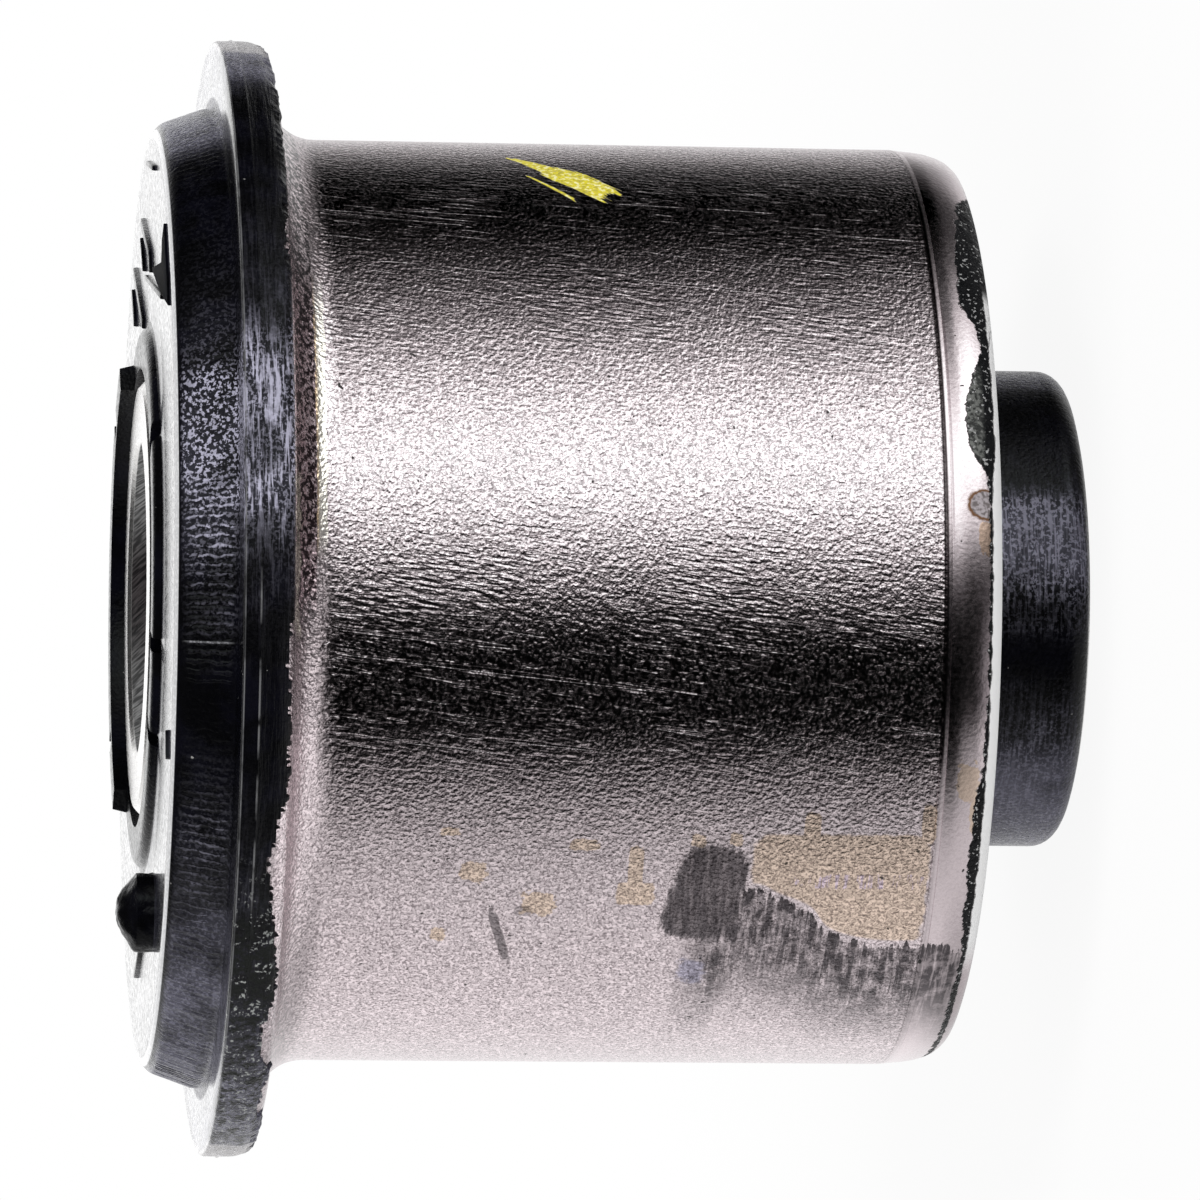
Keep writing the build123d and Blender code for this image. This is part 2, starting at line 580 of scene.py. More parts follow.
def brush_stroke(place, start, slope, length, start_width, full_width):
    """The mask of one brush stroke that runs down to the left at a slope in degrees."""
    return use("brush_stroke", {
        "Unrolled": place["Unrolled"], "Start": (*start, 0), "Turn": math.radians(180 - slope),
        "Length": length, "Start Width": start_width, "Full Width": full_width})["Mask"]


# -------- materials --------


# Height in mm up to which black rubber residue covers the lead-in, by side angle in degrees.
FLASH_TOP = (
    (-180, 6.2), (-118, 6.2), (-104, 7.25), (-72, 7.3), (-58, 7.3), (-48, 7.25), (-38, 7.5),
    (-24, 7.48), (-20, 7.2), (-11, 7.12), (1, 7.14), (11, 7.12), (16, 7.2), (18, 7.7),
    (20, 8.02), (22.5, 8.18), (26.5, 7.99), (30.5, 7.63), (34, 7.27), (37, 7.35), (41, 8.06),
    (47, 8.01), (53, 7.75), (60, 7.44), (64, 6.7), (70, 6.2), (90, 6.2),
)
# Arc length in mm of the upper edge of the dark oily run, by height in mm.
RUN_TOP = (
    (5.0, -21.5), (7.0, -20.2), (8.4, -19.35), (12.0, -19.1), (14.1, -18.4), (15.4, -16.8),
    (17.0, -16.0), (18.5, -15.4), (19.3, -16.5), (20.2, -18.3), (22.5, -19.0),
)
# Tan stains: centre and half sizes as (arc length, height) in mm, raggedness and its grain.
TAN_STAINS = (
    ((-11.6, 15.6), (1.0, 0.45), 0.15, 1.6),
    ((-11.3, 9.7), (1.2, 0.4), 0.15, 1.6),
    ((-12.4, 21.3), (0.4, 0.4), 0.4, 2.0),
    ((-12.3, 19.4), (0.4, 0.35), 0.4, 2.0),
    ((-12.0, 33.9), (0.25, 0.5), 0.35, 2.0),
    ((-14.4, 32.6), (0.65, 0.7), 0.45, 1.6),
    ((-16.4, 29.2), (0.8, 0.85), 0.45, 1.6),
    ((-12.7, 27.1), (0.35, 0.75), 0.4, 1.6),
    ((-18.6, 34.1), (0.5, 0.4), 0.4, 2.0),
    ((-9.0, 7.9), (1.1, 0.6), 0.4, 1.6),
    ((-10.9, 7.35), (1.1, 0.35), 0.4, 1.6),
)
BLOCKY_STAINS = (((-14.2, 24.4), (1.5, 0.4)), ((-15.7, 24.3), (0.75, 1.0)))


def oil_stained(colour, place):
    """Tan stains, and dark oily smears streaked round the sleeve that thin out downwards."""
    height, unrolled = place["Height"], place["Unrolled"]
    streak = noise(vector("MULTIPLY", unrolled, (0.30, 3.3, 1.0)), 1.0, 4.0, 0.7, distortion=0.3)
    loose = noise(unrolled, 0.9, 4.0, 0.65)
    edge = curve_of(height, RUN_TOP, -22.0, -15.0) - place["Angle"] * math.radians(BODY_R)
    along = window(height, 6.9, 7.1, 19.6, 22.6)
    below = edge + (streak * 2.4 - 1.2) + (loose * 2.0 - 1.0)
    run = window(below, 0.0, 0.12, 2.6, 11.5) * along * (
        smooth(streak, 0.38, 0.54) * 0.42 + (smooth(loose, 0.38, 0.56) * 0.38 + 0.25))
    tan = larger(
        patch(place, (-15.4, 14.0), (3.5, 4.6), ragged=0.035, grain=1.3, edge=0.05, square=12.0),
        *(patch(place, centre, half, ragged=ragged, grain=grain_size)
          for centre, half, ragged, grain_size in TAN_STAINS),
        *(patch(place, *sizes, ragged=0.16, grain=2.2, square=9.0) for sizes in BLOCKY_STAINS))
    tan = tan * (1.0 - smooth(edge, -0.55, -0.3) * along)
    lilac = patch(place, (-14.8, 12.0), (0.45, 4.0), ragged=0.4) * smooth(streak, 0.52, 0.58)
    smear = patch(place, (-15.75, 20.75), (3.35, 1.95), turn=12, ragged=0.10, grain=1.3,
                  streak=3.6, edge=0.16) * (smooth(streak, 0.3, 0.6) * 0.22 + 0.78)
    nick = patch(place, (-18.7, 31.0), (2.3, 0.28), turn=-16, ragged=0.22, grain=2.4, streak=2.0,
                 edge=0.3)
    dab = patch(place, (-16.9, 29.9), (0.35, 0.5), ragged=0.3, grain=2.4)
    blue = patch(place, (-21.3, 21.0), (1.2, 0.8), ragged=0.4, grain=1.5, edge=0.4)
    colour = stained(colour, (1.02, 0.93, 0.75), tan)
    colour = stained(colour, (0.95, 0.98, 1.45), lilac * tan, 0.8)
    colour = stained(colour, (0.12, 0.12, 0.125),
                     larger(smear * 0.97, run * 0.97, nick * 0.72, dab * 0.45))
    return stained(colour, (0.62, 0.70, 0.95), blue, 0.6)


def heat_tint_and_painted_light(colour, place):
    """Heat tint in the flange's bend: dark and pale flecks, deepened there as painted shade, a
    painted highlight, orange along its edge, and a pale one along the skin's torn end.
    """
    height, side = place["Height"], place["Angle"]
    bend = band(place, height, 40.95, 43.6, ragged=0.05, grain=2.4, edge=0.10)
    flecks = smooth(noise(place["Place"], 3.4, 3.0, 0.7), 0.48, 0.54)
    # painted light and shade: from -4° to 46° the dark flecks are darker, as painted shade in the
    # bend, and the pale flecks brighter
    painted_contrast = window(side, -4, 4, 34, 46)
    pale = blend(painted_contrast, grey(1.1), (1.34, 1.19, 1.22))
    deep = blend(painted_contrast, grey(0.14), (0.09, 0.07, 0.075))
    colour = stained(colour, blend(flecks, deep, pale), bend * smooth(side, -9, 2))
    # a painted highlight along the bend's edge, pale above and orange below, from 4° to 44°
    edge = band(place, height, 40.42, 41.02, ragged=0.09, grain=1.4) * window(side, 4, 10, 32, 44)
    gold_highlight = blend(smooth(height, 40.8, 41.0), (1.0, 0.95, 0.86), (0.86, 0.62, 0.38))
    colour = blend(edge * 0.85, colour, gold_highlight)
    # a pale painted highlight on the metal along the skin's torn end, from -5° to 15°
    torn = band(place, height, 41.86, 42.34, ragged=0.22, grain=0.8, edge=0.04)
    torn = torn * window(side, -5, -3, 13, 15) * (flecks * 0.5 + 0.5)
    return blend(torn, colour, (0.95, 0.92, 0.80))


def painted(colour, place, paint_colour):
    """A brush stroke of paint, thin at its start, with a loose bristle line beside it."""
    paint = larger(brush_stroke(place, (30.5, 30.0), 42.5, 7.1, 0.2, 0.95),
                   brush_stroke(place, (27.6, 29.3), 38.0, 3.6, 0.07, 0.12))
    bristle = noise(place["Place"], 4.0, 2.0)
    paint = paint * (smooth(bristle, 0.36, 0.5) * 0.25 + 0.75)
    tone = blend(smooth(bristle, 0.50, 0.64), paint_colour, (1.0, 0.95, 0.5))
    return blend(paint, colour, tone), paint


def ground_steel(settings):
    """Ground and lightly oiled sleeve steel: grain, axial scratches, heat tint and stains, with
    painted shade and painted highlights.
    """
    material, shader, place = new_material("ground_steel")
    here, height, side = place["Place"], place["Height"], place["Angle"]
    swaged = 1.0 - smooth(height, LEAD_IN_TOP - 0.12, LEAD_IN_TOP)
    above = 1.0 - swaged

    # grain: short wandering stipple everywhere, drawn out and leaning in two strips
    grain = stipple(here, 4.9, settings.grain, squash=0.95)
    drawn = stipple(here, 5.2, settings.grain * 1.3, squash=0.24, lean=0.0058)
    strips = larger(window(side, 22, 36, 58, 74), window(side, -24, -14, 3, 13))
    worn = strips * (smooth(noise(here, 0.16, 2.0), 0.42, 0.58) * 0.75 + 0.15)
    scratched = larger(scratches(here, 0.006, 5.0, 16.0, 0.55),
                       scratches(here, 0.0045, 3.6, 46.0, 0.45)) * (worn * 0.85 + 0.15)
    even = 1.0 - swaged * 0.85
    furrow, crest = ([part * share for part in settings.colour] for share in (0.30, 1.32))
    colour = blend(grain["Mask"] * even, settings.colour, crest)
    colour = blend(grain["Lines"] * even * 0.74, colour, furrow)
    colour = blend(drawn["Lines"] * worn * 0.6, colour, furrow)
    pepper = 1.0 - smooth(noise(here, 7.0, 1.0, 0.6), 0.40, 0.47)
    colour = stained(colour, (0.30, 0.28, 0.29), pepper * even, 0.7)
    # two strips of painted shade: dark reflection bands, painted most between the grain's crests
    painted_dark_bands = larger(window(side, -21, -13, -6, 1), window(side, 44, 54, 66, 74) * 0.5)
    painted_dark_bands = painted_dark_bands * window(height, LEAD_IN_TOP - 0.1, LEAD_IN_TOP, 40.0, 41.2)
    colour = stained(colour, grey(0.14), painted_dark_bands * (1.0 - grain["Mask"]), 0.95)
    colour = stained(colour, grey(0.5), painted_dark_bands, 0.5)
    pits = smooth(noise(here, 2.3, 1.0), 0.76, 0.79)
    colour = blend(pits, colour, (0.05, 0.045, 0.045))
    colour = heat_tint_and_painted_light(oil_stained(colour, place), place)

    # the lead-in is painted darker where it turns away from the light, as painted shade, and
    # starts with a dark line of painted shade in its groove
    dull_and_shaded = swaged * window(side, -17, -11, 0, 12)
    colour = stained(colour, (0.36, 0.35, 0.36), dull_and_shaded, 0.9)
    start = band_of(height, LEAD_IN_TOP - 0.04, 0.17) * (
        window(side, -22, -17, 56, 66) * 0.75 + 0.2)
    colour = stained(colour, (0.07, 0.06, 0.06), start)
    # a second, fainter line of painted shade lower in the groove, from 6° to 42°
    second = band_of(height, LEAD_IN_TOP - 0.42, 0.07) * window(side, 6, 12, 34, 42)
    colour = stained(colour, (0.45, 0.38, 0.40), second, 0.6)
    # half-moon spot on the lead-in, brown round its edge, and a rusty one below it
    moon = patch(place, (5.3, 7.3), (0.95, 1.1), ragged=0.10, grain=1.6, edge=0.5, square=2.0)
    colour = blend(smooth(moon, 0.0, 0.3), colour, (0.16, 0.08, 0.04))
    colour = blend(smooth(moon, 0.4, 0.7), colour,
                   blend(grain["Mask"], (0.16, 0.14, 0.14), (0.42, 0.38, 0.40)))
    rusty = patch(place, (3.6, 7.3), (0.9, 0.4), ragged=0.3, grain=1.6)
    colour = stained(colour, (1.0, 0.78, 0.5), rusty, 0.7)
    colour, paint = painted(colour, place, settings.paint)

    # black rubber flash on the lead-in, crumbly where it is thin, with pale specks of painted
    # glints, above a painted highlight along the rim
    ragged = noise(here, 1.7, 4.0, 0.65)
    gap = curve_of(side, FLASH_TOP, 6.0, 9.0) - height + (ragged * 0.7 - 0.35)
    lower = 6.96 - smooth(side, 14, 20) * 0.24
    rise = ragged * 0.3 + height - (lower - smooth(side, 34, 40) * 0.5)
    flash = smooth(gap, 0.0, 0.06) * smooth(rise, 0.12, 0.18)
    crumb = window(side, 17, 19.5, 29, 32) * smooth(height, 7.15, 7.45) * (
        grain["Mask"] * 0.8 + 0.2)
    black = blend(crumb, (0.003, 0.003, 0.004), (0.17, 0.175, 0.165))
    # pale specks of painted glints on the flash
    black = blend(smooth(noise(here, 5.0, 2.0), 0.62, 0.66) * 0.9, black, grey(0.42))
    colour = blend(flash, colour, black)
    # a painted highlight along the rim, from -54° to 44°
    rim_highlight = window(side, -54, -46, 41, 44) * (
        1.0 - smooth(ragged * 0.24 + height - lower, 0.08, 0.16))
    colour = blend(rim_highlight, colour, grey(0.86))

    covered = larger(paint, flash, rim_highlight, smooth(moon, 0.0, 0.35))
    relief = grain["Height"] * (1.0 - worn * 0.5) * (1.0 - swaged * 0.82)
    relief = relief + drawn["Height"] * ((worn * 0.9 + 0.1) * above) - scratched * above * 0.022
    relief = relief + flash * (ragged * 0.30 + 0.05) + paint * 0.02
    fill(shader, {
        "Base Color": colour, "Metallic": 1.0 - larger(covered, pits),
        "Roughness": settings.roughness + covered * 0.2 + grain["Mask"] * 0.05,
        "Specular IOR Level": 0.12, "Normal": bumped(relief)})
    return material


def turned_steel(settings):
    """Turned sleeve steel: clean end faces, and a dull bore with slanted tool marks, painted
    lighter away from X = 0 and darker near it as painted light and shade.
    """
    material, shader, place = new_material("turned_steel")
    here, radius = place["Place"], place["Radius"]
    grain = stipple(here, 5.0, 0.004)
    tool = stipple(here, 6.4, 0.008, squash=0.22, lean=0.12)
    clean = smooth(radius, BORE_R + 0.01, BORE_R + 0.05)
    # painted light and shade in the bore: lighter away from X = 0, darker near it
    lit = smooth(abs(split(here)[0]), 1.0, 6.5)
    dull_and_shaded = blend(tool["Mask"], blend(lit, (0.010, 0.008, 0.009), grey(0.10)),
                 blend(lit, (0.07, 0.06, 0.062), grey(0.40)))
    colour = stained(blend(clean, dull_and_shaded, settings.inner_colour), grey(0.7), grain["Lines"], 0.3)
    rings = maths("SINE", radius * 38.0) * 0.0015
    relief = grain["Height"] + (1.0 - clean) * tool["Height"] + rings
    fill(shader, {
        "Base Color": colour, "Metallic": clean * 0.8 + 0.2,
        "Roughness": grain["Mask"] * 0.08 + (0.46 - clean * 0.2), "Normal": bumped(relief)})
    return material


# Share of painted sheen on the rubber, a pale painted reflection, by side angle in degrees.
PAINTED_SHEEN = (
    (-180, 0.5), (-90, 1.0), (-60, 0.9), (-47, 0.46), (-39, 0.24), (-31, 0.08), (-26, 0.02),
    (-20, 0.0), (-4, 0.0), (2, 0.02), (9, 0.15), (15, 0.2), (22, 0.15), (28, 0.04), (38, 0.01),
    (60, 0.0), (66, 0.3), (72, 0.9), (90, 1.0), (180, 0.5),
)
# the same for its high-contrast painted glints
PAINTED_GLINT = (
    (-180, 0.1), (-60, 0.06), (-47, 0.05), (-38, 0.10), (-31, 0.14), (-25, 0.08), (-20, 0.04),
    (-12, 0.0), (-7, 0.02), (-4.8, 0.07), (0, 0.15), (4.5, 0.34), (9.7, 0.9), (15.7, 1.0),
    (21, 1.0), (27, 0.45), (32, 0.05), (40, 0.02), (60, 0.01), (72, 0.06), (180, 0.1),
)


def pressed_ribs(place, pitch):
    """Ribs that wander round the collar: their relief, and the thin lines on their crests."""
    side = place["Angle"]
    wander = noise(place["Place"], 0.9, 2.0, 0.6)
    turns = side * (COLLAR_R * math.radians(1.0)) / (pitch / MM)
    wave = maths("SINE", (wander * 1.5 + turns) * math.tau)
    plain = larger(smooth(side, 16, 32), window(side, -27, -20, -11, -6))
    strength = smooth(wander, 0.25, 0.55) * (1.0 - plain * 0.8)
    return smooth(wave, -0.2, 1.0) * strength, smooth(wave, 0.55, 0.9) * strength


def worn_edges_and_reflection(colour, place, rim, cloud, worms):
    """Pale worn lines on the rubber's edges, a painted reflection along the collar's edge, and
    pale patches on the rim at both sides.
    """
    height, radius, side = place["Height"], place["Radius"], place["Angle"]
    # the facing's edge, and the step between facing and skin
    broken = smooth(cloud, 0.40, 0.54)
    worn_edge = band_of(height, FACING_FRONT - 0.10, 0.045) * rim * (broken * 0.6 + 0.3)
    step = band_of(height, FLANGE_FRONT + 0.03, 0.06) * rim * window(side, -34, -28, 0, 6)
    colour = blend(larger(worn_edge, step * broken) * 0.8, colour, (0.16, 0.16, 0.165))
    # a painted reflection along the collar's rounded edge, most of all at the front
    edge_reflection = window(height, COLLAR_FACE - 0.19, COLLAR_FACE - 0.15, COLLAR_FACE - 0.02,
                   COLLAR_FACE - 0.01) * window(radius, 23.4, 23.6, 24.6, 24.7)
    edge_reflection = edge_reflection * (worms * 0.2 + 0.8) * (window(side, -125, -97, 97, 125) * 0.65 + 0.35)
    colour = blend(edge_reflection, colour, (0.72, 0.72, 0.73))
    # pale patches on the rim at both sides, from about 79° to 104° off the front, ragged by the
    # cloud
    through = window(cloud * 8.0 + abs(side), 79, 81, 98, 104) * rim
    return blend(through * (worms * 0.4 + 0.5), colour, (0.55, 0.53, 0.53))


def moulded_rubber(settings, name="moulded_rubber", flat_shine=True):
    """Blue-black rubber: polished flat faces, ribbed collar, scuffed rim, painted sheen and glints
    by side angle, and a few specks.
    """
    material, shader, place = new_material(name)
    here, height, radius, side = (place[part] for part in ("Place", "Height", "Radius", "Angle"))
    grain = stipple(here, 4.4, 0.011)
    fine = stipple(here, 7.5, 0.006)
    cloud = noise(here, 0.35, 3.0, 0.6)
    glint = noise(here, 5.4, 2.0, 0.6)
    worms = smooth(glint, 0.51, 0.58)

    # the collar's ribbed side, the rim and the nose, with rings of scuffs round the last two,
    # which also carry painted glints
    on_side = window(height, FACING_FRONT + 0.1, FACING_FRONT + 0.4, COLLAR_FACE - 0.8,
                     COLLAR_FACE - 0.3) * smooth(radius, 23.9, 24.2)
    ribs, crest = pressed_ribs(place, settings.rib_pitch)
    rim = smooth(radius, 28.6, 28.9)
    nose = smooth(-height, -7.0, -6.0)
    x, y, z = split(here)
    scuffs_and_glints = noise(combine(x * 0.30, y * 0.30, z * 3.6), 1.9, 3.0, 0.6)

    # the mould's flat faces are polished
    face = smooth(height, COLLAR_FACE - 0.24, COLLAR_FACE - 0.10) * smooth(radius, 14.35, 14.5)
    face = face * (1.0 - smooth(height, COLLAR_FACE + 0.02, COLLAR_FACE + 0.04))
    flat = larger(face, band_of(height, FACING_FRONT, 0.06) * smooth(radius, 26.0, 26.2))
    if not flat_shine:
        flat = flat * 0.0

    # bloom from a cloud, and pale blue-grey crests of painted sheen and painted glints by side
    # angle, black between them
    patchy = smooth(cloud, 0.38, 0.58) * 0.8 + 0.5
    colour = blend(smooth(cloud, 0.40, 0.65), settings.colour, settings.bloom)
    crests = mix(1.0 - smooth(side, 8, 17), worms,
                 worms * 0.25 + crest * on_side * smooth(glint, 0.38, 0.50))
    rings = nose * worms * 0.5 + (smooth(scuffs_and_glints, 0.48, 0.62) * 0.7 + worms * 0.3)
    marks = mix(larger(rim, nose), crests, rings)
    edge_on = 1.0 - smooth(height, COLLAR_FACE - 0.5, COLLAR_FACE - 0.2)
    # painted light from below on the nose, from -150° to -30°
    under = nose * window(side, -150, -120, -60, -30)
    # painted shade: the rim's painted sheen and glints fade from -58° to 12°
    shaded = 1.0 - rim * window(side, -58, -44, 3, 12) * 0.8
    haze_and_sheen = curve_of(side, PAINTED_SHEEN, 0.0, 1.0) * edge_on * (worms * 0.6 + 0.55)
    # on the nose, a painted highlight band from 4° to 30°, and the painted light from below
    haze_and_sheen = (haze_and_sheen + nose * window(side, 4, 11, 20, 30) * 0.55 + under) * shaded
    shine = curve_of(side, PAINTED_GLINT, 0.0, 1.0) * edge_on
    shine = shine * (1.25 - smooth(height, COLLAR_FACE - 1.5, COLLAR_FACE - 0.7) * 0.55)
    shine = shine * shaded + under * 0.3
    colour = blend(haze_and_sheen * patchy, colour, settings.haze_and_sheen)
    colour = blend(shine * patchy * marks, colour, settings.scuffs_and_glints)
    colour = blend(face * patchy * 0.16, colour, settings.haze_and_sheen)

    # the rim's underside is rough: dull patches, crumbs and pale nicks
    rough_rim = rim * smooth(-side, 24, 40)
    blotch = noise(here, 1.5, 4.0, 0.7)
    colour = blend(rough_rim * smooth(blotch, 0.48, 0.56), colour, (0.006, 0.007, 0.006))
    nick = smooth(blotch, 0.45, 0.41) * smooth(glint, 0.5, 0.56)
    colour = blend(rough_rim * nick, colour, (0.30, 0.31, 0.30))
    # one long pale line across the collar at -4.9°, worn edges with a painted reflection on the
    # collar's edge, and dust
    pale_line = on_side * band_of(side, -4.9, 0.14)
    colour = blend(pale_line * (worms * 0.5 + 0.3), colour, (0.30, 0.30, 0.32))
    colour = worn_edges_and_reflection(colour, place, rim, cloud, worms)
    dust = smooth(noise(here, 2.1, 2.0, 0.7), 0.75, 0.78)
    colour = blend(dust * 0.6, colour, (0.45, 0.44, 0.43))

    rough = settings.roughness + (0.0 if flat_shine else 0.6) + grain["Mask"] * 0.10
    sheen_and_glint_share = smooth(larger(haze_and_sheen, shine), 0.1, 0.5)
    relief = (grain["Height"] + fine["Height"]) * (sheen_and_glint_share * 0.7 + 0.5)
    relief = (relief + scuffs_and_glints * rim * 0.08 + ribs * on_side * 0.045) * (1.0 - flat * 0.95)
    fill(shader, {
        "Base Color": colour, "Roughness": rough + (fine["Mask"] * 0.04 - 0.12) * flat,
        "Specular IOR Level": 0.10 if flat_shine else 0.04, "Normal": bumped(relief)})
    return material


# -------- settings --------


COLOUR = {"subtype": "COLOR", "size": 3, "min": 0, "max": 1}
SHARE = {"subtype": "FACTOR", "min": 0, "max": 1}


class BushSteelSettings(bpy.types.PropertyGroup):
    """Finish of the two steel sleeves."""

    colour: bpy.props.FloatVectorProperty(
        name="Ground Steel", description="Base colour of the outer sleeve",
        default=(0.62, 0.54, 0.56), **COLOUR)
    inner_colour: bpy.props.FloatVectorProperty(
        name="Turned Steel", description="Base colour of the inner sleeve",
        default=(0.62, 0.61, 0.60), **COLOUR)
    paint: bpy.props.FloatVectorProperty(
        name="Paint Stroke", description="Colour of the inspector's paint stroke",
        default=(0.83, 0.72, 0.03), **COLOUR)
    roughness: bpy.props.FloatProperty(
        name="Roughness", description="Roughness of the ground steel",
        default=0.20, **SHARE)
    grain: bpy.props.FloatProperty(
        name="Grain Depth", description="Depth of the ground grain, in millimetres",
        min=0, max=0.05, default=0.014, precision=4)


class BushRubberSettings(bpy.types.PropertyGroup):
    """Finish of the rubber body and the size of its moulding ribs."""

    colour: bpy.props.FloatVectorProperty(
        name="Rubber", description="Base colour of the rubber",
        default=(0.0015, 0.0015, 0.002), **COLOUR)
    bloom: bpy.props.FloatVectorProperty(
        name="Bloom", description="Colour of the rubber where its surface has bloomed",
        default=(0.003, 0.003, 0.006), **COLOUR)
    # haze colour: painted sheen by side angle, and a faint tone on the collar's face
    haze_and_sheen: bpy.props.FloatVectorProperty(
        name="Haze", description="Colour of the rubber under a thin dusty haze",
        default=(0.145, 0.142, 0.185), **COLOUR)
    # scuff colour: painted glints on scuffs, worms and rib crests
    scuffs_and_glints: bpy.props.FloatVectorProperty(
        name="Scuff", description="Colour of the rubber where handling has scuffed it",
        default=(0.44, 0.43, 0.54), **COLOUR)
    roughness: bpy.props.FloatProperty(
        name="Roughness", description="Roughness of the moulded skin",
        default=0.22, **SHARE)
    rib_pitch: bpy.props.FloatProperty(
        name="Rib Pitch", description="Middle distance between the fine ribs of the collar",
        unit="LENGTH", min=0.0002, max=0.005, default=0.00047, precision=5)
    rib_depth: bpy.props.FloatProperty(
        name="Rib Depth", description="Depth of the fine ribs of the collar",
        unit="LENGTH", min=0.0, max=0.001, default=0.00005, precision=6)


class BushStudioSettings(bpy.types.PropertyGroup):
    """Camera and light of the studio."""

    lens: bpy.props.FloatProperty(
        name="Lens", description="Focal length of the camera",
        unit="CAMERA", min=20, max=500, default=283.2)
    distance: bpy.props.FloatProperty(
        name="Distance", description="Distance from the camera to the bush",
        unit="LENGTH", min=0.1, max=5, default=0.4947)
    tilt: bpy.props.FloatProperty(
        name="Tilt", description="Height of the camera above the horizon",
        unit="ROTATION", min=-1.5, max=1.5, default=math.radians(6.19))
    turn: bpy.props.FloatProperty(
        name="Turn", description="Turn of the picture past lying down",
        unit="ROTATION", min=-1.5, max=1.5, default=math.radians(0.71))
    floor: bpy.props.FloatVectorProperty(
        name="Floor", description="Colour of the studio floor",
        default=(0.92, 0.92, 0.92), **COLOUR)


# -------- pieces --------


# Outside of the lead-in: mm inwards from the body's radius and down from the lead-in's top.
LEAD_IN = (
    (0.06, 0), (0.06, 0.06), (0.02, 0.12), (0.04, 0.31), (0.08, 0.34), (0.06, 0.40), (0.11, 1.1),
    (0.20, 1.7), (0.36, 2.25), (0.52, 2.6),
)


class BUSH_OT_outer_sleeve(bpy.types.Operator):
    """Spins the drawn outer sleeve with its bent flange and swaged lead-in."""

    bl_idname = "bush.outer_sleeve"
    bl_label = "Outer Sleeve"

    def execute(self, context):
        section = [
            (INNER_WALL_R, LEAD_IN_TOP),
            *arc(BEND_CENTRE, INNER_BEND + WALL, 180, 90, steps=10),
            (FLANGE_R, FLANGE_FRONT),
            *arc(EDGE_CENTRE, BACK_EDGE, 0, -90, steps=8),
            *arc(BEND_CENTRE, INNER_BEND, 90, 180, steps=12),
            *((BODY_R, height) for height in (30.0, 20.0, LEAD_IN_TOP + 0.04)),
            *((BODY_R - inwards, LEAD_IN_TOP - down) for inwards, down in LEAD_IN),
            (RIM_R + 0.02, RIM_END + 0.2),
            (RIM_R - 0.12, RIM_END + 0.06),
            (RIM_R - 0.3, RIM_END),
            (RIM_R - WALL, RIM_END),
        ]
        piece = spun("sleeve_outer", section, columns=360)
        hand_over(piece, "outer_sleeve", ground_steel(context.scene.bush_steel))
        return {"FINISHED"}


class BUSH_OT_inner_sleeve(bpy.types.Operator):
    """Spins the thick inner sleeve with its chamfered ends."""

    bl_idname = "bush.inner_sleeve"
    bl_label = "Inner Sleeve"

    def execute(self, context):
        ease = 0.08
        lower = [
            (BORE_R, BORE_CHAMFER + ease),
            (BORE_R + ease, BORE_CHAMFER),
            (BORE_R + BORE_CHAMFER, ease),
            (BORE_R + BORE_CHAMFER + ease, 0),
            (SLEEVE_R - SLEEVE_CHAMFER - ease, 0),
            (SLEEVE_R - SLEEVE_CHAMFER, ease),
            (SLEEVE_R, SLEEVE_CHAMFER),
        ]
        upper = [(radius, SLEEVE_TOP - height) for radius, height in reversed(lower)]
        piece = spun("sleeve_inner", lower + upper, columns=256)
        hand_over(piece, "inner_sleeve", turned_steel(context.scene.bush_steel))
        return {"FINISHED"}


FINE_COLUMNS = 1440
BEAD_COLUMNS = 720
CORE_COLUMNS = 288
# radii where the collar's flat face starts and ends, bridged between bead and collar
FACE_INNER_R = 16.9
FACE_OUTER_R = 23.2
# heights at which the bond face round the inner sleeve is bridged
BOND_GAP = (44.0, 45.0)
# torn end of the skin: angle round the flange's edge and mm over its surface
TORN = ((-50, 0.17), (-58, 0.07), (-66, -0.04), (-74, -0.15))
TORN_ROWS = [spot(EDGE_CENTRE, BACK_EDGE + over, angle) for angle, over in TORN]
# hidden bond face under the skin, from its open end to the flange's front
BOND_EDGE = arc(EDGE_CENTRE, BACK_EDGE - 0.05, -60, 0, steps=3)


def collar_and_skin():
    """The collar's face edge, side and root, the facing and the skin over the flange's edge."""
    edge_r = COLLAR_R + COLLAR_EDGE * (math.tan(COLLAR_DRAFT) - 1 / math.cos(COLLAR_DRAFT))
    edge = arc((edge_r, COLLAR_FACE - COLLAR_EDGE), COLLAR_EDGE, 90, COLLAR_SLOPE, steps=8)
    top_r, top = edge[-1]
    rows = 8
    side = [(top_r + (COLLAR_ROOT_R - top_r) * row / rows,
             top + (FACING_FRONT + 0.3 - top) * row / rows) for row in range(1, rows)]
    section = [
        (FACE_OUTER_R, COLLAR_FACE),
        *edge,
        *side,
        (COLLAR_ROOT_R - 0.06, FACING_FRONT + 0.22),
        (COLLAR_ROOT_R + 0.06, FACING_FRONT + 0.06),
        (COLLAR_ROOT_R + 0.3, FACING_FRONT),
        (SKIN_R - 1.8, FACING_FRONT),
        (SKIN_R - 0.22, FACING_FRONT),
        (SKIN_R - 0.07, FACING_FRONT - 0.06),
        (SKIN_R, FACING_FRONT - 0.2),
        (SKIN_R, FLANGE_FRONT + 0.12),
        (SKIN_R + 0.07, FLANGE_FRONT + 0.02),
        (SKIN_R, FLANGE_FRONT - 0.08),
        *arc(EDGE_CENTRE, BACK_EDGE + SKIN, 0, -42, steps=5),
        *TORN_ROWS,
    ]
    return spun("rubber_moulding", section, FINE_COLUMNS, closed=False)


